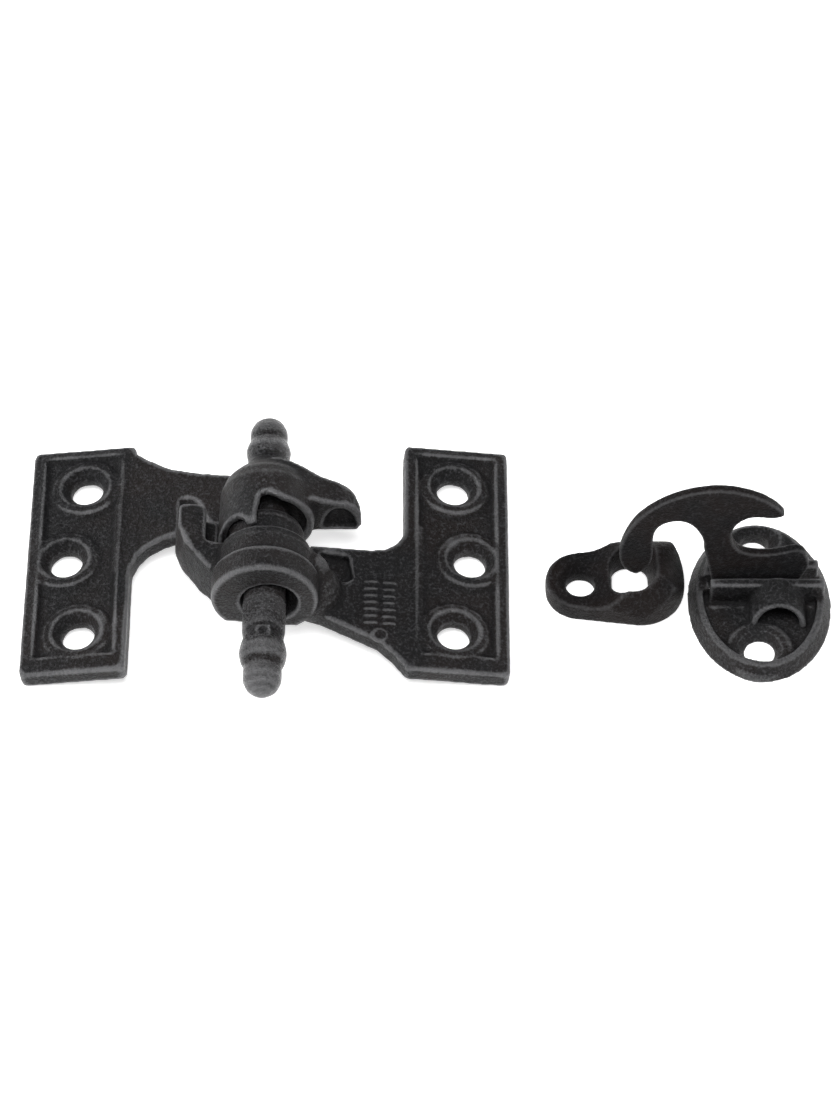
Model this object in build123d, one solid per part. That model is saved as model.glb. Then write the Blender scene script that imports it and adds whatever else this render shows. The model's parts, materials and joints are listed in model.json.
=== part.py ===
from build123d import *
import os
from math import sin, cos, radians

# Cast-iron shutter set: a two-leaf lift-and-lock hinge, and a gravity hook catch with its keeper.
# Frame: millimetres, +Z up, standing on z = 0, +Y towards the far end of the hinge pin.
os.makedirs("parts", exist_ok=True)

# hinge, shared by both leaves; each leaf is drawn flat about the pin axis, then leant and placed
PIN_X, PIN_Y = -33.6, 6.0      # pin axis in plan, and the middle of the leaves along it
LEAN = 7.0                      # each leaf leans this far down from level, degrees
PIN_OVER_BACK = 8.0             # pin axis above the leaf's flat back
PLATE_T = 4.0
FLANGE_IN, FLANGE_OUT = 29.3, 51.3
FLANGE_HALF = 29.5
HOLE_U, HOLE_MID_U, HOLE_V = 39.8, 43.3, 19.05
HOLE_R, SINK_R = 3.4, 4.9
COLLAR_R, PANEL_DEEP = 7.0, 0.6
PIN_Z = PIN_OVER_BACK * cos(radians(LEAN)) + FLANGE_OUT * sin(radians(LEAN))
BACK, FRONT = -PIN_OVER_BACK, PLATE_T - PIN_OVER_BACK

# pin and barrel
PIN_R, RUNNING = 4.45, 0.05
PIN_NEAR, PIN_FAR = -41.5, 29.5
BEAD_R, CAP_R = 4.95, 4.0
BARREL_R, COLLAR_RING_R = 10.0, 11.0
MOUTH_R, MOUTH_OFF = 5.9, (1.0, -0.7)     # the cored mouth is wider than the bore and off its centre
BARREL_NEAR, RING_FAR, MOUTH_FAR, NOSE_FAR = -18.0, -11.7, -9.5, 1.2
NOSE_R, LUG_FAR, LUG_TOP, POCKET_DEEP = 7.9, 4.2, 2.4, 2.2
HOOD_R, HOOD_BORE, HOOD_NEAR, HOOD_DEEP = 10.0, 8.3, -4.6, 5.0

# catch: oval case, lever, pivot pin and keeper
CASE_X, CASE_Y, CASE_A, CASE_B = 68.93, -2.0, 15.1, 20.4
CASE_HOLES_X = 68.3
RIM_H, RIM_TAPER = 3.4, 30     # the case's outer rim, and its slope from upright in degrees
SUNK_A, SUNK_B, FLOOR_T = 11.8, 17.0, 1.5
PAD_H, PAD_TAPER, PAD_INSET = 5.2, 28, 0.6
SEAT_R, SEAT_H = 5.2, 2.2       # the raised seat round the near screw hole
SCREW_PITCH, CATCH_HOLE_R, CATCH_SINK_R = 26.2, 3.0, 4.6
LEVER_Y, LEVER_T = 0.7, 2.1
SLOT_X, SLOT_LEN, SLOT_W = 69.97, 23.06, 2.7
PIVOT_X, PIVOT_Z, PIVOT_R = 72.4, 3.4, 1.8
BOSS_R, BOSS_Z, BOSS_NEAR, BOSS_LEAN = 5.8, 1.8, -9.4, 24.0
PIVOT_NEAR = -4.4
WALL_T, WALL_H = 2.2, 7.4       # the two walls beside the slot: middle and length of each
NEAR_WALL, FAR_WALL = (70.3, 23.8), (70.6, 21.0)
FAR_BOSS_LEN, BOSS_WALL = 3.6, 1.1
KEEPER_EYE, KEEPER_EYE_R = (31.6, 1.0), 7.3
KEEPER_LOOP, KEEPER_LOOP_R = (44.0, 1.5), 9.4
KEEPER_T, KEEPER_H, KEEPER_END = 4.6, 10.4, 53.4
LOOP_HOLE_X, LOOP_HOLE = 42.0, (7.6, 10.8)


def plate(points, z0, z1):
    face = make_face(Polyline(*points, close=True))
    return Pos(0, 0, z0) * extrude(face, z1 - z0)


def turned(profile):
    """A solid turned about the pin axis from (distance along the pin, radius) points."""
    v0, v1 = profile[0][0], profile[-1][0]
    line = Polyline((0, v0), *[(r, v) for v, r in profile], (0, v1), close=True)
    return revolve(make_face(line), Axis.Y)


def rod(x, z, y0, y1, r):
    """A cylinder along Y."""
    return Pos(x, (y0 + y1) / 2, z) * Rot(90, 0, 0) * Cylinder(r, y1 - y0)


def screw_hole(x, y, z0, z1, r, sink_r):
    """A through hole with a countersink whose mouth is at z1."""
    deep = (sink_r - r) * 1.15
    tool = Pos(x, y, (z0 + z1) / 2) * Cylinder(r, z1 - z0 + 2)
    tool += Pos(x, y, z1 - deep / 2) * Cone(r, sink_r, deep)
    return tool + Pos(x, y, z1 + 0.5) * Cylinder(sink_r, 1)


def flange():
    """The screw flange of a leaf on its +X side: bordered panel, three collared countersunk holes."""
    mid = (FLANGE_IN + FLANGE_OUT) / 2
    wide = FLANGE_OUT - FLANGE_IN
    body = Pos(mid, 0, (BACK + FRONT) / 2) * Box(wide, 2 * FLANGE_HALF, PLATE_T)
    body = fillet(body.edges().filter_by(Axis.Z), 1.2)
    panel = Pos(mid, 0.9, FRONT) * Box(wide - 5.0, 2 * FLANGE_HALF - 6.0, 2 * PANEL_DEEP)
    panel = fillet(panel.edges().filter_by(Axis.Z), 1.0)
    body -= panel
    spots = [(HOLE_U, -HOLE_V), (HOLE_MID_U, 0), (HOLE_U, HOLE_V)]
    for u, v in spots:
        body += Pos(u, v, (BACK + FRONT) / 2) * Cylinder(COLLAR_R, PLATE_T)
    body &= Pos(mid, 0, 0) * Box(wide, 2 * FLANGE_HALF, 40)
    for u, v in spots:
        body -= screw_hole(u, v, BACK, FRONT, HOLE_R, SINK_R)
    return body


def place(leaf, side):
    """Lean a leaf about the pin axis so its outer back edge meets z = 0, and move it to the pin."""
    return Pos(PIN_X, PIN_Y, PIN_Z) * Rot(0, LEAN * side, 0) * leaf


def casing_leaf():
    """Socket leaf: flange, arm, barrel with bore, lock pocket and the U-shaped stop lug."""
    arm = plate([(4, -14.6), (13.5, -18.0), (24.0, -22.9), (27.2, -25.9), (FLANGE_IN, -28.6), (33, -28.6),
                 (33, 8.0), (FLANGE_IN, 7.5), (28.9, 4.9), (27.4, 2.6), (25.2, 1.2), (22, 0.7), (4, 0.7)],
                BACK, FRONT)
    barrel = turned([(BARREL_NEAR, COLLAR_RING_R - 0.3), (BARREL_NEAR + 0.3, COLLAR_RING_R),
                     (RING_FAR - 0.4, COLLAR_RING_R), (RING_FAR, BARREL_R), (-7.6, BARREL_R), (-6.4, 9.5),
                     (-5.6, 9.5), (-5.6, NOSE_R), (-1.2, NOSE_R), (0.4, 7.2), (NOSE_FAR, 6.0)])
    gusset = make_face(Polyline((6, -4.5), (9.4, 3.6), (10.6, 0.6), (12.4, -1.9), (15.4, -4.5), close=True))
    gusset = Pos(0, -6.5, 0) * extrude(Plane.XZ * gusset, 9.5)
    lug = plate([(-9, -14.6), (-13.0, -10.8), (-17.0, -5.4), (-18.4, -1.6), (-18.4, LUG_FAR - 0.8),
                 (-17.6, LUG_FAR), (-13.4, LUG_FAR), (-12.6, LUG_FAR - 0.8), (-12.6, -5.0), (-8, -5.6)],
                BACK, LUG_TOP)
    lug -= Pos(-9, -16.4, LUG_TOP + 1.6) * Rot(32, 0, 0) * Box(24, 18, 8)
    web = plate([(-4, -16), (-9, -14.6), (-13.0, -10.8), (-17.0, -5.4), (-17.0, LUG_FAR), (-4, LUG_FAR)],
                BACK, -3.2)
    leaf = arm + gusset + web + lug + flange()
    leaf -= plate([(11.6, -0.9), (17.6, -1.5), (18.6, -7.2), (17.4, -8.2), (13.4, -8.0)],
                  FRONT - POCKET_DEEP, FRONT + 2)
    leaf -= rod(0, 0, HOOD_NEAR - 0.6, LUG_FAR + 2, HOOD_R + 0.5)     # room for the other leaf's hood
    leaf += barrel
    leaf &= Pos(0, 0, BACK + 50) * Box(200, 200, 100)
    leaf -= rod(0, 0, BARREL_NEAR - 5, NOSE_FAR + 5, PIN_R + RUNNING)
    leaf -= rod(*MOUTH_OFF, BARREL_NEAR - 5, MOUTH_FAR, MOUTH_R)
    return place(leaf, 1)


def pin_body():
    """The pin with its beaded, round-capped ends, turned about the pin axis."""
    near = PIN_NEAR
    return turned([(near, 0.6), (near + 0.35, 2.0), (near + 1.5, 3.3), (near + 3.2, CAP_R),
                   (near + 5.4, CAP_R), (near + 6.6, 3.85), (near + 8.0, 4.6), (near + 9.9, BEAD_R),
                   (near + 11.8, 4.6), (near + 13.6, 4.1), (near + 15.4, PIN_R), (16.2, PIN_R),
                   (17.6, 4.1), (18.8, 4.35), (21.0, 4.75), (22.7, 4.3), (23.6, 3.8), (24.8, CAP_R),
                   (26.4, CAP_R), (28.2, 3.2), (29.1, 1.9), (PIN_FAR, 0.6)])


def shutter_leaf():
    """Pin leaf: flange, notched arm, toothed hood, locking claw and the pin cast in one."""
    mirrored = mirror(flange(), Plane.YZ)
    arm = plate([(-33, 27.4), (-FLANGE_IN, 27.4), (-26.8, 25.6), (-22, 22.6), (-15, 20.6), (-6, 19.0),
                 (0, 18), (0, 6.0), (-12.6, 6.0), (-13.8, 8.6), (-15.2, 12.2), (-17.0, 13.9), (-19.4, 13.9),
                 (-19.4, 4.6), (-22.6, 3.7), (-25.9, 1.8), (-28.0, -0.5), (-FLANGE_IN, -3.8), (-33, -4.4)],
                BACK, FRONT)
    hood = turned([(HOOD_NEAR, HOOD_R - 0.5), (HOOD_NEAR + 1, HOOD_R), (8.6, HOOD_R - 0.2), (11.2, 9.0),
                   (13.4, 7.2), (15.4, 5.4), (17.2, PIN_R)])
    hood -= rod(0, 0, -20, HOOD_DEEP, HOOD_BORE)
    hood &= Pos(0, 0, BACK + 50) * Box(200, 200, 100)
    left_arch = make_face(Polyline((-11, -5.5), (-2.4, -5.5), (-3.0, -3.4), (-4.4, -2.2), (-6.4, -2.1),
                                   (-8.2, -2.9), (-9.6, -4.2), (-11, -4.4), close=True))
    hood -= extrude(left_arch, 20)
    right_arch = make_face(Polyline((-0.4, -5.5), (-0.6, -2.0), (0.2, 2.7), (1.6, 3.0), (4.5, 2.0),
                                    (7.5, 1.9), (11, 2.6), (13, 2.6), (13, -5.5), close=True))
    hood -= extrude(Pos(0, 0, -12) * right_arch, 30)
    claw_plan = make_face(Polyline((1.0, 14.4), (5.6, 13.6), (10.6, 11.9), (14.6, 11.0), (17.6, 9.6),
                                   (19.3, 7.4), (19.7, 5.0), (9.8, 4.9), (6.4, 3.2), (1.0, 3.2), close=True))
    claw = extrude(Pos(0, 0, -10) * claw_plan, 20)
    claw_side = make_face(Polyline((0, -6.0), (9.0, -5.8), (18.6, -5.8), (19.7, -4.0), (19.6, -0.6),
                                   (18.4, 1.8), (16.4, 3.0), (14.0, 3.4), (11.2, 4.2), (7.4, 6.0), (3, 7.4),
                                   (0, 7.6), close=True))
    claw &= Pos(0, 30, 0) * extrude(Plane.XZ * claw_side, 60)
    d_face = Pos(15.1, -4.9) * Ellipse(3.5, 6.2) & Pos(15.2, 0.2) * Rectangle(10, 10)
    claw -= Pos(0, 5.9, 0) * extrude(Plane.XZ * d_face, 4)
    claw = Rot(0, LEAN, 0) * claw
    leaf = mirrored + arm + hood
    leaf -= rod(0, 0, 0, 12, PIN_R)
    leaf += claw - rod(0, 0, -20, HOOD_DEEP, HOOD_BORE)
    leaf += pin_body()
    return place(leaf, -1)


def oval(a, b, h, taper=0.0):
    return Pos(CASE_X, CASE_Y, 0) * extrude(Ellipse(a, b), h, taper=taper)


def latch_case():
    """Oval case: bevelled rim, sunk near floor, raised far pad, slot walls, pivot boss, two screw holes."""
    slot0, slot1 = LEVER_Y - SLOT_W / 2, LEVER_Y + SLOT_W / 2
    body = oval(CASE_A, CASE_B, RIM_H, RIM_TAPER)
    sunk = Pos(0, 0, FLOOR_T) * oval(SUNK_A, SUNK_B, 20)
    body -= sunk & Pos(CASE_X, slot0 - 20, 10) * Box(80, 40, 40)
    pad = oval(CASE_A - PAD_INSET, CASE_B - PAD_INSET, PAD_H, PAD_TAPER)
    body += pad & Pos(CASE_X, slot1 + 20, 10) * Box(80, 40, 40)
    for (x, long), y in ((NEAR_WALL, slot0 - WALL_T / 2), (FAR_WALL, slot1 + WALL_T / 2)):
        body += Pos(x, y, WALL_H / 2) * Box(long, WALL_T, WALL_H)
    boss = rod(PIVOT_X, BOSS_Z, BOSS_NEAR, slot0, BOSS_R)
    boss -= Pos(PIVOT_X, BOSS_NEAR - 5, FLOOR_T) * Rot(-BOSS_LEAN, 0, 0) * Box(20, 10, 30)
    boss -= (rod(PIVOT_X, BOSS_Z, -12, PIVOT_NEAR - 1, BOSS_R - BOSS_WALL) &
             Pos(PIVOT_X, -9, FLOOR_T + 5.1) * Box(20, 20, 10))
    body += boss
    body += rod(PIVOT_X, BOSS_Z, slot1, slot1 + FAR_BOSS_LEN, BOSS_R - 0.6)
    body &= oval(CASE_A, CASE_B, 30)
    body -= Pos(SLOT_X, LEVER_Y, 10) * Box(SLOT_LEN, SLOT_W, 40)
    body -= Pos(CASE_X, CASE_Y, -10) * Box(80, 80, 20)
    near_y, far_y = CASE_Y - SCREW_PITCH / 2, CASE_Y + SCREW_PITCH / 2
    body += Pos(CASE_HOLES_X, near_y, SEAT_H / 2) * Cylinder(SEAT_R, SEAT_H)
    for y, top in ((near_y, SEAT_H), (far_y, PAD_H)):
        body -= screw_hole(CASE_HOLES_X, y, 0, top, CATCH_HOLE_R, CATCH_SINK_R)
    body -= rod(PIVOT_X, PIVOT_Z, PIVOT_NEAR, slot1 + FAR_BOSS_LEN, PIVOT_R)
    return body


def latch_lever():
    """Upright crescent lever: hook at the left, tail at the right, stem and pivot lobe below."""
    tip, tail, root = (42.9, 8.0), (72.6, 27.4), (64.9, 26.2)
    back = Spline(tip, (40.2, 10.4), (39.3, 14.2), (39.9, 19.2), (42.4, 25.6), (48.9, 32.2), (58.8, 35.2),
                  (67.8, 32.4), tail)
    under = Spline(tail, (71.4, 26.6), (68.6, 26.5), root)
    stem = Spline(root, (62.4, 23.0), (62.3, 19.2), (64.0, 15.8), (69.2, 14.4), (73.2, 15.2), (76.3, 15.8),
                  (78.2, 13.2), (78.2, 9.0))
    base = [Line((78.2, 9.0), (75.4, 1.8)), ThreePointArc((75.4, 1.8), (73.4, 0.5), (71.4, 0.6)),
            Line((71.4, 0.6), (60.0, 2.0)), Line((60.0, 2.0), (58.9, 5.0)), Line((58.9, 5.0), (56.6, 16.4))]
    throat = Spline((56.6, 16.4), (55.2, 21.9), (51.5, 25.3), (47.6, 24.2), (46.1, 20.6), (46.2, 15.6),
                    (45.3, 10.2), tip)
    face = make_face(Wire([back, under, stem, *base, throat]))
    body = Pos(0, LEVER_Y + LEVER_T / 2, 0) * extrude(Plane.XZ * face, LEVER_T)
    body -= rod(PIVOT_X, PIVOT_Z, -20, 20, PIVOT_R + RUNNING)
    return body


def latch_pivot_pin():
    slot1 = LEVER_Y + SLOT_W / 2
    return rod(PIVOT_X, PIVOT_Z, PIVOT_NEAR, slot1 + FAR_BOSS_LEN, PIVOT_R)


def keeper():
    """Teardrop keeper: countersunk eye at the left, raised loop at the right with a through opening."""
    eye = Pos(*KEEPER_EYE) * Circle(KEEPER_EYE_R)
    loop = Pos(*KEEPER_LOOP) * Circle(KEEPER_LOOP_R)
    outline = make_hull(eye.edges() + loop.edges())
    body = extrude(outline, KEEPER_H + 2, dir=(0, 0, 1))
    crest = Spline((32, KEEPER_T), (36.5, 5.2), (40.5, 8.0), (45.6, KEEPER_H), (50.1, 9.4), (52.6, 6.0),
                   (KEEPER_END, 0))
    below = Polyline((KEEPER_END, 0), (56, 0), (56, -1), (20, -1), (20, KEEPER_T), (32, KEEPER_T))
    side = make_face(Wire([crest, *below.edges()]))
    body &= Pos(0, 40, 0) * extrude(Plane.XZ * side, 80)
    mid = KEEPER_LOOP[1]
    arch = Spline((mid - 10, 0), (mid - 8.8, 4.6), (mid - 6.2, 8.8), (mid, KEEPER_H + 0.6),
                  (mid + 6.2, 8.8), (mid + 8.8, 4.6), (mid + 10, 0))
    foot = Polyline((mid + 10, 0), (mid + 10, -1), (mid - 10, -1), (mid - 10, 0))
    across = make_face(Wire([arch, *foot.edges()]))
    body &= extrude(Plane.YZ * across, 80)
    hole = Pos(LOOP_HOLE_X, mid) * RectangleRounded(*LOOP_HOLE, 3.2)
    body -= Pos(0, 0, -1) * extrude(hole, 4.5)
    body -= Pos(0, 0, 3) * extrude(hole, 9, taper=-10)
    body -= screw_hole(KEEPER_EYE[0], KEEPER_EYE[1], 0, KEEPER_T, CATCH_HOLE_R, CATCH_SINK_R)
    return body


PARTS = {"casing_leaf": casing_leaf, "shutter_leaf": shutter_leaf, "latch_case": latch_case,
         "latch_lever": latch_lever, "latch_pivot_pin": latch_pivot_pin, "keeper": keeper}
for name, make in PARTS.items():
    shape = make()
    solids = shape.solids()
    box = shape.bounding_box()
    print(name, "solids", len(solids), [round(s.volume) for s in solids],
          "box", [round(v, 2) for v in (*box.min, *box.max)])
    export_step(solids[0] if len(solids) == 1 else shape, f"parts/{name}.step")
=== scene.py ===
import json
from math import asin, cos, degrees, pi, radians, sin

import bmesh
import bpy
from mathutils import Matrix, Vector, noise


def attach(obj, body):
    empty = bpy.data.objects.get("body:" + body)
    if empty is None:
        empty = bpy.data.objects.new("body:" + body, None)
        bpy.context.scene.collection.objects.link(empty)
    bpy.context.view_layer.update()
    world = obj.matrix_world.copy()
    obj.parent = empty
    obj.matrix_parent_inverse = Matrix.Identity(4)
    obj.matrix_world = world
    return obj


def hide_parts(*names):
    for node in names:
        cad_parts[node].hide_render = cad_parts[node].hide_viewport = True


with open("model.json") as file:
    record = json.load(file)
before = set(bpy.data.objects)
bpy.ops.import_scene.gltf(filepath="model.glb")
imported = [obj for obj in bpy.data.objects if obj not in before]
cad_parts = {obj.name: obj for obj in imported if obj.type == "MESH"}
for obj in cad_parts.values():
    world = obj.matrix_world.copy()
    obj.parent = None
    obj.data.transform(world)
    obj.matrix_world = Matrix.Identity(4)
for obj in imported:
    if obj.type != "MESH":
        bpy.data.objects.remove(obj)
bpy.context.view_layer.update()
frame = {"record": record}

# %% [markdown]
# # Shutter ironwork: a lift-and-lock hinge and a hook catch
# The set is rough black iron: two hinge leaves, an oval case with an upright hook in it, a small steel
# pivot pin, and a teardrop keeper. The CAD frame already gives every piece its true size, its place and
# its joints. What it lacks is the look of a casting. Sand-cast iron has no sharp edge and no true plane:
# corners are soft, faces wander a little, and the skin is grainy where the sand was.
# So each casting starts as a copy of its CAD solid, takes on the small raised details that the pattern
# maker carved, and is then melted into one skin. The melted piece replaces the CAD node.

MM = 0.001
record = frame["record"]
joints = {joint["name"]: joint for joint in record["behaviour"]["joints"]}
mounts = {mount["name"]: mount for mount in record["mounts"]}
PIN = Vector(joints["hinge_swing"]["pos_m"])
PIVOT = Vector(joints["hook_swing"]["pos_m"])
LEAN = asin(mounts["casing_outer_screws"]["axis"][0])
print("pin axis at", [round(v / MM, 2) for v in PIN], "mm, leaves lean", round(degrees(LEAN), 2), "degrees")

# %% [markdown]
# ## Working in a leaf's own frame
# Each hinge leaf leans about the pin. Details are far easier to place in the leaf's own frame: u runs
# from the pin out to the flange, v runs along the pin, and w stands off the leaf. The right-hand leaf
# leans one way and the left-hand leaf is its mirror, so one helper serves both. The catch lies flat, so
# its details are given in millimetres from the origin. Both pins run along Y, so a second helper tells how
# far a point is from such an axis.

# %% Places on a leaf
SOCKET_SIDE, PIN_SIDE = 1, -1
FACE_W = -4.0            # the leaf's front face, below the pin axis; these places are in millimetres
FLANGE_IN, FLANGE_OUT, FLANGE_HALF = 29.3, 51.3, 29.5
HOLES = [(39.8, -19.05), (43.3, 0.0), (39.8, 19.05)]


def leaf_frame(side):
    """The matrix that takes (u, v, w) in millimetres to the object's own metres."""
    mirror = Matrix.Diagonal((side, 1, 1, 1))
    return (Matrix.Translation(PIN) @ Matrix.Rotation(LEAN * side, 4, "Y")
            @ Matrix.Scale(MM, 4) @ mirror)


def off_axis(point, axis_point):
    """How far a point lies from an axis that runs along Y."""
    gap = point - axis_point
    return Vector((gap.x, gap.z)).length


flat_frame = Matrix.Scale(MM, 4)
print("first hole of the socket leaf at", [round(v / MM, 1) for v in
      leaf_frame(SOCKET_SIDE) @ Vector((*HOLES[0], FACE_W))])

# %% [markdown]
# ## Pattern maker's details
# On the real pieces these are strips of wood and fillets of wax stuck to the pattern. A bar is a cube with
# its edges bevelled round, stretched long and pressed flat; a ring is a small circle spun about an axis; a
# lump is a sphere, stretched. All are closed shells that sink into the casting, so the later melting joins
# them to it without any seam.

# %% Bars, rings and lumps
BAR_ROUND = 0.55         # bevel of a bar, as a share of its half width


def add_bar(working, frame_matrix, start, end, wide, high):
    """A low rounded bar between two points of a frame."""
    start, end = Vector(start), Vector(end)
    run = end - start
    turn = run.to_track_quat("X", "Z").to_matrix().to_4x4()
    shape = Matrix.Diagonal((run.length / 2 + wide / 2, wide / 2, high, 1))
    place = frame_matrix @ Matrix.Translation((start + end) / 2) @ turn @ shape
    added = bmesh.ops.create_cube(working, size=2, matrix=Matrix.Identity(4))["verts"]
    edges = list({edge for vert in added for edge in vert.link_edges})
    rounded = bmesh.ops.bevel(working, geom=edges, offset=BAR_ROUND, segments=3, profile=0.5,
                              affect="EDGES", material=-1, offset_type="OFFSET")["verts"]
    body = list(set(rounded) | {vert for vert in added if vert.is_valid})
    bmesh.ops.transform(working, matrix=place, verts=body)


def add_ring(working, frame_matrix, centre, radius, thick, sweep=2 * pi, begin=0.0):
    """A round ring, or part of one, lying on a frame's uv plane."""
    round_section = Matrix.Translation((radius, 0, 0)) @ Matrix.Rotation(pi / 2, 4, "X")
    section = bmesh.ops.create_circle(working, segments=10, radius=thick, cap_ends=True,
                                      matrix=Matrix.Rotation(begin, 4, "Z") @ round_section)["verts"]
    faces = list({face for vert in section for face in vert.link_faces})
    whole = sweep > 2 * pi - 0.01
    if whole:
        bmesh.ops.delete(working, geom=faces, context="FACES_ONLY")
    geometry = section + list({edge for vert in section for edge in vert.link_edges})
    if not whole:
        geometry += faces
    before = set(working.verts)
    bmesh.ops.spin(working, geom=geometry, axis=(0, 0, 1), cent=(0, 0, 0), angle=sweep,
                   steps=max(6, int(sweep * 6)), use_merge=whole)
    ring = list((set(working.verts) - before) | {vert for vert in section if vert.is_valid})
    bmesh.ops.transform(working, matrix=frame_matrix @ Matrix.Translation(centre), verts=ring)


def add_lump(working, frame_matrix, centre, size):
    """A soft ellipsoid, as a dab of wax makes."""
    place = frame_matrix @ Matrix.Translation(centre) @ Matrix.Diagonal((*size, 1))
    bmesh.ops.create_uvsphere(working, u_segments=20, v_segments=12, radius=1, matrix=place)


print("three kinds of detail: bar, ring, lump")

# %% [markdown]
# ## Melting a casting into one skin
# A copy of the CAD solid and its details overlap as separate shells. A voxel remesh wraps them all in a
# single even skin, which a boolean can't promise on shapes that touch. Then the skin is relaxed: each
# point moves towards its neighbours, which rounds edges and fills sharp corners as running iron does.
# Last comes the wander of the face, from smooth noise along each point's normal. It is about a twentieth
# of a millimetre, so holes and fits keep their size.
#
# The same step measures how much each point stands proud of its neighbours. Handling polishes proud
# edges first, so that number is stored on the mesh and the paint reads it later as wear on proud points and
# as painted shade on sunk ones. A second number marks what use has polished, such as the bare ends of the
# pin.

# %% Copy, remesh, relax, wander
SEED = Vector((3.1, 7.7, 1.9))
BROAD, LUMPY, SANDY = 0.055 * MM, 0.04 * MM, 0.025 * MM      # how far each size of wander may go
PROUD_REACH = 0.02 * MM  # a point this far above its neighbours counts as fully worn
POLISH_WEAR = 0.22       # a polished place also counts as this much worn


def start_from(node):
    """A working mesh holding the CAD node's solid, with its loose triangles joined up."""
    working = bmesh.new()
    working.from_mesh(bpy.data.objects[node].data)
    bmesh.ops.remove_doubles(working, verts=working.verts, dist=1e-6)
    return working


def melt(working, name, voxel):
    """One even closed skin round every shell of the working mesh."""
    mesh = bpy.data.meshes.new(name)
    working.to_mesh(mesh)
    working.free()
    rough = bpy.data.objects.new(name + "_rough", mesh)
    bpy.context.scene.collection.objects.link(rough)
    remesh = rough.modifiers.new("melt", "REMESH")
    remesh.mode = "VOXEL"
    remesh.voxel_size = voxel
    remesh.adaptivity = 0
    melted = bpy.data.meshes.new_from_object(rough.evaluated_get(bpy.context.evaluated_depsgraph_get()))
    bpy.data.objects.remove(rough)
    skin = bmesh.new()
    skin.from_mesh(melted)
    bpy.data.meshes.remove(melted)
    return skin


def wander(point):
    """How far the skin strays at a point: dishes 7 mm across, lumps of 2 mm and grain under 1 mm."""
    return (BROAD * noise.noise(point * 140 + SEED) + LUMPY * noise.noise(point * 520 + SEED)
            + SANDY * noise.noise(point * 1500 - SEED))


def proudness(skin, reach):
    """How far each point stands above the mean of its neighbours, from -1, sunk, to 1, proud."""
    heights = {}
    for vert in skin.verts:
        around = [edge.other_vert(vert).co for edge in vert.link_edges]
        mean = sum(around, Vector()) / len(around)
        heights[vert] = (vert.co - mean).dot(vert.normal)
    for _ in range(2):
        heights = {vert: (heights[vert] + sum(heights[edge.other_vert(vert)] for edge in vert.link_edges))
                   / (1 + len(vert.link_edges)) for vert in skin.verts}
    return {vert: max(-1.0, min(1.0, height / reach)) for vert, height in heights.items()}


def cast(working, name, body, node, voxel=0.36, rounds=5, slimmer=None, burnish=None):
    """Melt, relax and finish a casting, and let it stand for its CAD node.

    slimmer(vert, move) may change how far a point moves; burnish(vert) says how polished it is, 0 to 1.
    """
    skin = melt(working, name, voxel * MM)
    # One number per point: proud points are read as wear, sunk points as painted shade in the hollows.
    wear_and_shade = skin.verts.layers.float.new("wear_and_shade")
    polish = skin.verts.layers.float.new("polish")
    for _ in range(rounds):
        bmesh.ops.smooth_vert(skin, verts=skin.verts, factor=0.5, use_axis_x=True, use_axis_y=True,
                              use_axis_z=True)
    skin.normal_update()
    proud = proudness(skin, PROUD_REACH)
    for vert in skin.verts:
        vert[polish] = burnish(vert) if burnish else 0.0
        vert[wear_and_shade] = proud[vert] + POLISH_WEAR * vert[polish]
        move = wander(vert.co)
        if slimmer:
            move = slimmer(vert, move)
        vert.co += vert.normal * move
        vert.co.z = max(vert.co.z, 0.0)
    for face in skin.faces:
        face.smooth = True
    mesh = bpy.data.meshes.new(name)
    skin.to_mesh(mesh)
    triangles = sum(len(face.verts) - 2 for face in skin.faces)
    skin.free()
    piece = bpy.data.objects.new(name, mesh)
    bpy.context.scene.collection.objects.link(piece)
    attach(piece, body)
    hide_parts(node)
    print(name, "has", triangles, "triangles")
    return piece


print("skin wanders by", round((BROAD + LUMPY + SANDY) / MM, 2), "mm at the very most")

# %% [markdown]
# ## The socket leaf
# The right-hand leaf holds the barrel that the pin stands in. Its flange has a sunk panel with a raised
# bead round it and a soft lip round each screw hole, all cast in. A second ring is tilted, so that it
# stands up on the near side of the hole, as a crescent, and is buried on the far side. The arm carries
# two short columns of plain raised ribs and a dot, and two lumps swell the corner between the barrel and
# the arm. Everything is placed in the leaf's frame, so it leans with the leaf.

# %% Border bead and screw lips, for either leaf
BORDER_IN, BORDER_NEAR, BORDER_FAR = 2.5, 3.9, 2.1       # from the flange's sides and ends to the bead
BEAD_WIDE, BEAD_HIGH, BEAD_W = 1.0, 0.42, FACE_W - 0.1
LIP_R, LIP_THICK, LIP_W = 5.5, 0.42, FACE_W - 0.12
SWELL_R, SWELL_THICK, SWELL_TILT, SWELL_W = 6.9, 0.9, radians(-6), FACE_W - 1.2


def dress_flange(working, side):
    """Bead round the sunk panel and lips round the three holes."""
    place = leaf_frame(side)
    inner, outer = FLANGE_IN + BORDER_IN, FLANGE_OUT - BORDER_IN
    near, far = -FLANGE_HALF + BORDER_NEAR, FLANGE_HALF - BORDER_FAR
    for start, end in [((inner, near), (inner, far)), ((inner, far), (outer, far)),
                       ((outer, near), (outer, far)), ((inner, near), (outer, near))]:
        add_bar(working, place, (*start, BEAD_W), (*end, BEAD_W), BEAD_WIDE, BEAD_HIGH)
    for u, v in HOLES:
        add_ring(working, place, (u, v, LIP_W), LIP_R, LIP_THICK)
        tilted = place @ Matrix.Translation((u, v, SWELL_W)) @ Matrix.Rotation(SWELL_TILT, 4, "X")
        add_ring(working, tilted, (0, 0, 0), SWELL_R, SWELL_THICK)


print("bead stands", round(BEAD_W + BEAD_HIGH - FACE_W, 2), "mm off the leaf")

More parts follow.
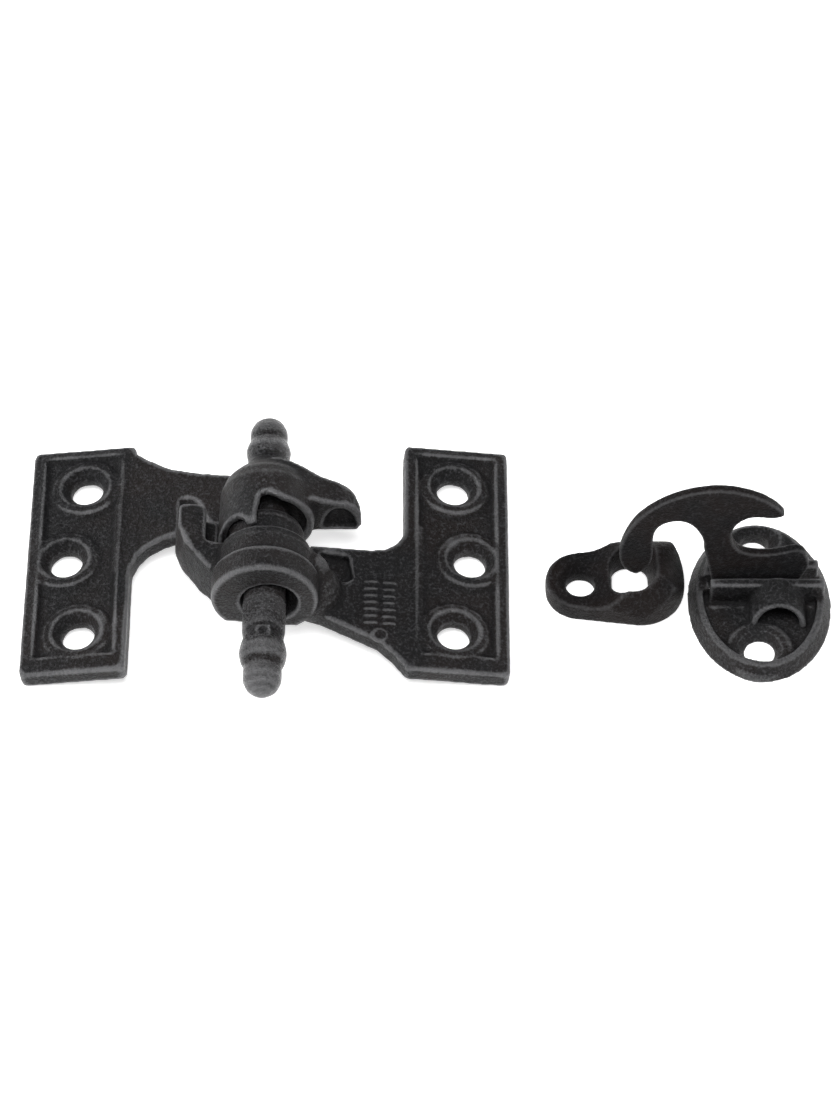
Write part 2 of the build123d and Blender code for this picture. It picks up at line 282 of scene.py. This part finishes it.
# %% Socket leaf: ribs on the arm, flare beside the barrel
RIB_COLUMNS = [(21.0, 23.6), (24.8, 27.2)]
RIB_ROWS, RIB_FIRST_V, RIB_PITCH, RIB_SLOPE = 7, -8.2, 1.75, 0.12
RIB_WIDE, RIB_HIGH = 0.75, 0.55
DOT = (24.2, -21.6, FACE_W)
FLARE = [((10.6, -11.4, -4.6), (5.6, 6.4, 6.0)), ((9.0, -9.4, -1.2), (4.6, 4.2, 5.4))]

socket = start_from("casing_leaf")
dress_flange(socket, SOCKET_SIDE)
socket_frame = leaf_frame(SOCKET_SIDE)
for row in range(RIB_ROWS):
    v = RIB_FIRST_V - row * RIB_PITCH
    for start_u, end_u in RIB_COLUMNS:
        add_bar(socket, socket_frame, (start_u, v, FACE_W), (end_u, v + RIB_SLOPE, FACE_W),
                RIB_WIDE, RIB_HIGH)
add_ring(socket, socket_frame, DOT, radius=1.4, thick=0.5)
add_lump(socket, socket_frame, DOT, size=(0.6, 0.6, 0.5))
for centre, size in FLARE:
    add_lump(socket, socket_frame, centre, size)
socket_leaf = cast(socket, "socket_leaf", "casing_leaf", "casing_leaf")

# %% [markdown]
# ## The pin leaf
# The left-hand leaf is cast in one with its pin: a beaded knob at each end, a hood that covers the
# socket's nose, and a claw that drops into the pocket of the other leaf to lock the shutter open. The
# claw ends in a D-shaped face. A faint three-sided box of parting line stands on top of the near shank.
# The length of pin that hides in the barrel is drawn a little thinner, so the two rough skins never meet.
# The pin's bare ends are burnished, because the leaf is lifted off and dropped back by them.

# %% Pin leaf: a thinner hidden pin, and burnished ends
HIDDEN_NEAR, HIDDEN_FAR, HOOD_FAR = -19.0 * MM, 3.5 * MM, 16.5 * MM     # along the pin
HIDDEN_R, BARE_R = 5.2 * MM, 5.6 * MM
RUNNING_ROOM = 0.14 * MM


def slim_in_barrel(vert, move):
    """Draw the pin in where the barrel hides it."""
    hidden = HIDDEN_NEAR < (vert.co - PIN).y < HIDDEN_FAR and off_axis(vert.co, PIN) < HIDDEN_R
    return -RUNNING_ROOM if hidden else move


def burnish_shank(vert):
    """Full polish on the bare ends of the pin, outside the barrel and the hood."""
    bare = not HIDDEN_NEAR < (vert.co - PIN).y < HOOD_FAR
    return 1.0 if bare and off_axis(vert.co, PIN) < BARE_R else 0.0


print("pin runs with", RUNNING_ROOM / MM, "mm to spare in the barrel")

# %% Pin leaf: parting line on the shank, and the casting
MARK_LEFT, MARK_RIGHT, MARK_NEAR, MARK_FAR, MARK_TOP = -1.1, 1.3, -31.8, -27.6, 4.0

pin_leaf_mesh = start_from("shutter_leaf")
dress_flange(pin_leaf_mesh, PIN_SIDE)
level_pin = Matrix.Translation(PIN) @ Matrix.Scale(MM, 4)
for start, end in [((MARK_LEFT, MARK_NEAR), (MARK_LEFT, MARK_FAR)),
                   ((MARK_RIGHT, MARK_NEAR), (MARK_RIGHT, MARK_FAR)),
                   ((MARK_LEFT, MARK_FAR), (MARK_RIGHT, MARK_FAR))]:
    add_bar(pin_leaf_mesh, level_pin, (*start, MARK_TOP), (*end, MARK_TOP), wide=0.6, high=0.5)
pin_leaf = cast(pin_leaf_mesh, "pin_leaf", "shutter_leaf", "shutter_leaf", voxel=0.37,
                slimmer=slim_in_barrel, burnish=burnish_shank)

# %% [markdown]
# ## The oval case, the hook and the keeper
# The case is a shallow oval cup with a slot for the hook. A scalloped lip runs round the far screw hole,
# the floor swells round the near one, a fillet runs along the foot of the slot wall, and the hollow boss
# that holds the pivot pin has a thick round lip. The boss's front leans back, so its lip is a half ring
# turned up to lie in that leaning plane. The hook is a flat casting, so it only needs soft edges, and room
# to turn on its pin. The keeper is a teardrop loop, relaxed for longer, because its slopes flow into each
# other. All three take a finer skin, because their details are smaller.

# %% Oval case
FAR_HOLE_LIP, NEAR_HOLE_SWELL = (68.3, 11.1, 5.0), (68.3, -15.1, 0.9)
WALL_FOOT_Y, WALL_FOOT_Z, WALL_FOOT_RUNS = -4.2, 1.4, [(57.8, 66.6), (76.8, 79.6)]
BOSS_FRONT, BOSS_TURN, BOSS_LIP_R = (72.4, -9.2, 1.8), radians(66), 5.15

case_mesh = start_from("latch_case")
add_ring(case_mesh, flat_frame, FAR_HOLE_LIP, radius=5.5, thick=0.7, sweep=1.2 * pi, begin=pi * 0.95)
add_ring(case_mesh, flat_frame, NEAR_HOLE_SWELL, radius=6.0, thick=1.5)
for left, right in WALL_FOOT_RUNS:
    add_bar(case_mesh, flat_frame, (left, WALL_FOOT_Y, WALL_FOOT_Z), (right, WALL_FOOT_Y, WALL_FOOT_Z),
            wide=1.4, high=0.7)
boss_frame = flat_frame @ Matrix.Translation(BOSS_FRONT) @ Matrix.Rotation(BOSS_TURN, 4, "X")
add_ring(case_mesh, boss_frame, (0, 0, 0), BOSS_LIP_R, thick=0.75, sweep=pi)
oval_case = cast(case_mesh, "oval_case", "latch_case", "latch_case", voxel=0.3, rounds=7)

# %% Hook and keeper
PIVOT_HOLE_R, PIVOT_ROOM = 2.3 * MM, 0.1 * MM


def ease_pivot(vert, move):
    """Open the hook's pivot hole a little, so it never rubs its pin."""
    return -PIVOT_ROOM if off_axis(vert.co, PIVOT) < PIVOT_HOLE_R else move


hook = cast(start_from("latch_lever"), "hook", "latch_lever", "latch_lever", voxel=0.26, slimmer=ease_pivot)
teardrop = cast(start_from("keeper"), "teardrop_keeper", "keeper", "keeper", voxel=0.27, rounds=15)

# %% [markdown]
# ## Shader maths that reads like maths
# A material is a small program. Wiring each sum by hand hides what it does, so one class wraps a socket
# and turns + - * into Math nodes, and one method adds any other node with its settings and inputs.

# %% The signal and finish classes


class Signal:
    """A socket that adds Math nodes when it is used in an expression."""

    def __init__(self, finish, socket):
        self.finish, self.socket = finish, socket

    def maths(self, operation, first, second):
        """One Math node on two signals or numbers."""
        return self.finish.add("ShaderNodeMath", {"operation": operation}, {0: first, 1: second})

    def __add__(self, other):
        return self.maths("ADD", self, other)

    __radd__ = __add__

    def __mul__(self, other):
        return self.maths("MULTIPLY", self, other)

    __rmul__ = __mul__

    def __sub__(self, other):
        return self.maths("SUBTRACT", self, other)

    def __rsub__(self, other):
        return self.maths("SUBTRACT", other, self)

    def clamped(self, low, high):
        """Stretch the range low to high over 0 to 1 and hold it there."""
        return self.finish.add("ShaderNodeMapRange", {"clamp": True},
                               {"Value": self, "From Min": low, "From Max": high})


class Finish:
    """A material with its shader, ready for nodes."""

    def __init__(self, name):
        self.material = bpy.data.materials.new(name)
        self.material.use_nodes = True
        self.tree = self.material.node_tree
        self.shader = self.tree.nodes["Principled BSDF"]

    def feed(self, socket, value):
        """Link a signal to a socket, or set the socket to a plain value."""
        if isinstance(value, Signal):
            self.tree.links.new(value.socket, socket)
        else:
            socket.default_value = value

    def add(self, kind, settings, inputs, output=0):
        """Add a node, set its settings first and then its sockets, and return one of its outputs."""
        node = self.tree.nodes.new(kind)
        for key, value in settings.items():
            setattr(node, key, value)
        for key, value in inputs.items():
            self.feed(node.inputs[key], value)
        return Signal(self, node.outputs[output])

    def mix(self, mask, first, second):
        """A colour between two others. The mix node's colour sockets are numbers 6 and 7."""
        return self.add("ShaderNodeMix", {"data_type": "RGBA"}, {0: mask, 6: first, 7: second}, output=2)

    def speckle(self, size, detail=3.0, roughness=0.55):
        """Noise whose grains are about this many millimetres across, on Object coordinates."""
        where = self.add("ShaderNodeTexCoord", {}, {}, output=3)
        return self.add("ShaderNodeTexNoise", {}, {"Vector": where, "Scale": 1 / (size * MM),
                                                   "Detail": detail, "Roughness": roughness})

    def set(self, **values):
        """Feed the shader's own sockets, with _ for the spaces in their names."""
        for name, value in values.items():
            self.feed(self.shader.inputs[name.replace("_", " ")], value)


print("classes ready")

# %% [markdown]
# ## Black iron
# The finish is a thin satin black over grey iron. It is painted darkest in the hollows, as painted shade,
# and it is a dull grey where hands have rubbed the edges, and very slightly brown in broad patches, with
# pale specks of sand grain. The bump has two sizes, grain and small pits; the slow unevenness is already in
# the mesh. The worn edges are also a little smoother and a little metallic, so they catch a soft highlight.
# The leaves are the roughest, the case comes next, and the hook and the keeper are smoother and darker, so
# the finish takes
# three settings: how much it shines, how many specks it has, and how bare its edges are.

# %% The black iron finish
# The first colour is painted shade: the near-black laid into the hollows.
HOLLOW_SHADE, SOOT, BROWNED, GREYED = ((0.004, 0.004, 0.0045, 1), (0.006, 0.006, 0.0065, 1),
                                (0.0095, 0.007, 0.0065, 1), (0.16, 0.16, 0.165, 1))
SAND_GREY = (0.045, 0.045, 0.048, 1)
GRAIN_ACROSS, PIT_ACROSS, PATCH_ACROSS = 0.55, 1.7, 14.0
BUMP_DEEP = 0.6 * MM


def black_iron(name, gloss, sparkle, bare):
    """Satin black iron: its shine, its share of pale specks, and how bare its worn edges are."""
    finish = Finish(name)
    wear_and_shade = finish.add("ShaderNodeAttribute", {"attribute_name": "wear_and_shade"}, {}, output=2)
    polish = finish.add("ShaderNodeAttribute", {"attribute_name": "polish"}, {}, output=2)
    grain = finish.speckle(GRAIN_ACROSS, detail=4.0, roughness=0.65)
    pits = finish.speckle(PIT_ACROSS)
    patches = finish.speckle(PATCH_ACROSS, detail=2.0)
    rubbed = (wear_and_shade + (grain - 0.5) * 0.7 + (patches - 0.5) * 1.1).clamped(0.3, 1.05)
    # Painted shade: points sunk below their neighbours are mixed towards a near-black colour and made a
    # little rougher.
    hollow_shade = (0.0 - wear_and_shade).clamped(0.1, 0.9)
    base = finish.mix(patches.clamped(0.4, 0.62), SOOT, BROWNED)
    base = finish.mix(grain.clamped(0.5, 0.66) * sparkle, base, SAND_GREY)
    base = finish.mix(hollow_shade * 0.7, base, HOLLOW_SHADE)
    finish.set(Base_Color=finish.mix(rubbed * bare, base, GREYED),
               Metallic=rubbed * (bare * 0.7),
               Roughness=0.47 + (grain - 0.5) * 0.3 + hollow_shade * 0.15 - rubbed * 0.14 - polish * 0.18,
               Specular_IOR_Level=gloss)
    pitted = finish.add("ShaderNodeBump", {}, {"Height": pits, "Strength": 0.9, "Distance": BUMP_DEEP})
    finish.set(Normal=finish.add("ShaderNodeBump", {}, {"Height": grain, "Strength": 1.0,
                                                        "Distance": BUMP_DEEP, "Normal": pitted}))
    return finish.material


rough_iron = black_iron("rough_black_iron", gloss=0.19, sparkle=1.0, bare=0.8)
case_iron = black_iron("case_black_iron", gloss=0.22, sparkle=1.0, bare=0.75)
smooth_iron = black_iron("smooth_black_iron", gloss=0.07, sparkle=0.45, bare=0.3)
finish_of = {socket_leaf: rough_iron, pin_leaf: rough_iron, oval_case: case_iron, hook: smooth_iron,
             teardrop: smooth_iron}
for piece, iron in finish_of.items():
    piece.data.materials.clear()
    piece.data.materials.append(iron)
print("iron on", len(finish_of), "castings")

# %% [markdown]
# ## The pivot pin
# The pin is a plain length of blackened steel rod, and its CAD node is already the right shape. It only
# needs its own finish: drawn steel has scuffs and no sand grain, so it is smoother.

# %% Blackened steel
DARK_STEEL, BRIGHT_STEEL = (0.03, 0.03, 0.032, 1), (0.09, 0.09, 0.095, 1)


def blackened_steel():
    """Drawn rod, darkened, with small brighter scuffs."""
    finish = Finish("blackened_steel")
    scuffs = finish.speckle(0.9, detail=5.0)
    finish.set(Base_Color=finish.mix(scuffs.clamped(0.4, 0.7), DARK_STEEL, BRIGHT_STEEL),
               Metallic=scuffs.clamped(0.3, 0.8) * 0.6, Roughness=0.3 + scuffs * 0.25)
    finish.set(Normal=finish.add("ShaderNodeBump", {}, {"Height": scuffs, "Strength": 0.3,
                                                        "Distance": 0.05 * MM}))
    return finish.material


pivot_pin = bpy.data.objects["latch_pivot_pin"]
for slot in pivot_pin.material_slots:
    slot.material = blackened_steel()
print("steel on", pivot_pin.name, "with", len(pivot_pin.material_slots), "slot")

# %% [markdown]
# ## Floor, light and camera
# The set lies on a white table. Small iron needs light that is soft but has a direction: one broad lamp
# overhead and a little in front draws the near edges, two weaker ones low at the sides draw the round
# shanks and the barrel, and a dim room keeps the flat faces black. The floor glows faintly, as a light
# table does, which keeps shadows pale.

# %% White table
LOOK_AT = Vector((-1.8, 9.7, 0.0)) * MM
TABLE_HALF = 3.0


def make_floor():
    """A wide white sheet at z = 0."""
    sheet = bmesh.new()
    bmesh.ops.create_grid(sheet, x_segments=1, y_segments=1, size=TABLE_HALF)
    mesh = bpy.data.meshes.new("white_table")
    sheet.to_mesh(mesh)
    sheet.free()
    table = bpy.data.objects.new("white_table", mesh)
    bpy.context.scene.collection.objects.link(table)
    finish = Finish("white_card")
    finish.set(Base_Color=(0.93, 0.93, 0.93, 1), Roughness=0.9, Emission_Color=(1, 1, 1, 1),
               Emission_Strength=0.6)
    mesh.materials.append(finish.material)


make_floor()
print("table is", 2 * TABLE_HALF, "m wide")

# %% Lamps and the room


def add_lamp(name, place, size, power):
    """A soft rectangular lamp that faces the middle of the set."""
    light = bpy.data.lights.new(name, "AREA")
    light.shape = "RECTANGLE"
    light.size, light.size_y = size
    light.energy = power
    lamp = bpy.data.objects.new(name, light)
    bpy.context.scene.collection.objects.link(lamp)
    lamp.location = place
    lamp.rotation_euler = (LOOK_AT - Vector(place)).to_track_quat("-Z", "Y").to_euler()


add_lamp("overhead_soft", (-0.1, -0.22, 0.85), (0.6, 0.5), 8.5)
add_lamp("left_soft", (-0.75, 0.1, 0.35), (0.4, 0.3), 5.0)
add_lamp("right_soft", (0.75, -0.25, 0.3), (0.4, 0.3), 2.5)
room = bpy.data.worlds.new("dim_room")
bpy.context.scene.world = room
room.use_nodes = True
room.node_tree.nodes["Background"].inputs["Color"].default_value = (1, 1, 1, 1)
room.node_tree.nodes["Background"].inputs["Strength"].default_value = 0.12
bpy.context.scene.view_settings.view_transform = "Standard"
print("three lamps and a dim room")

# %% Camera
DISTANCE, ELEVATION = 842 * MM, radians(52)
lens = bpy.data.cameras.new("camera")
lens.lens, lens.sensor_width, lens.clip_end = 128.6, 36, 20
camera = bpy.data.objects.new("camera", lens)
bpy.context.scene.collection.objects.link(camera)
camera.location = LOOK_AT + DISTANCE * Vector((0, -cos(ELEVATION), sin(ELEVATION)))
camera.rotation_euler = (LOOK_AT - camera.location).to_track_quat("-Z", "Y").to_euler()
bpy.context.scene.camera = camera
print("camera", round(DISTANCE, 3), "m away, looking down", round(degrees(ELEVATION)), "degrees")
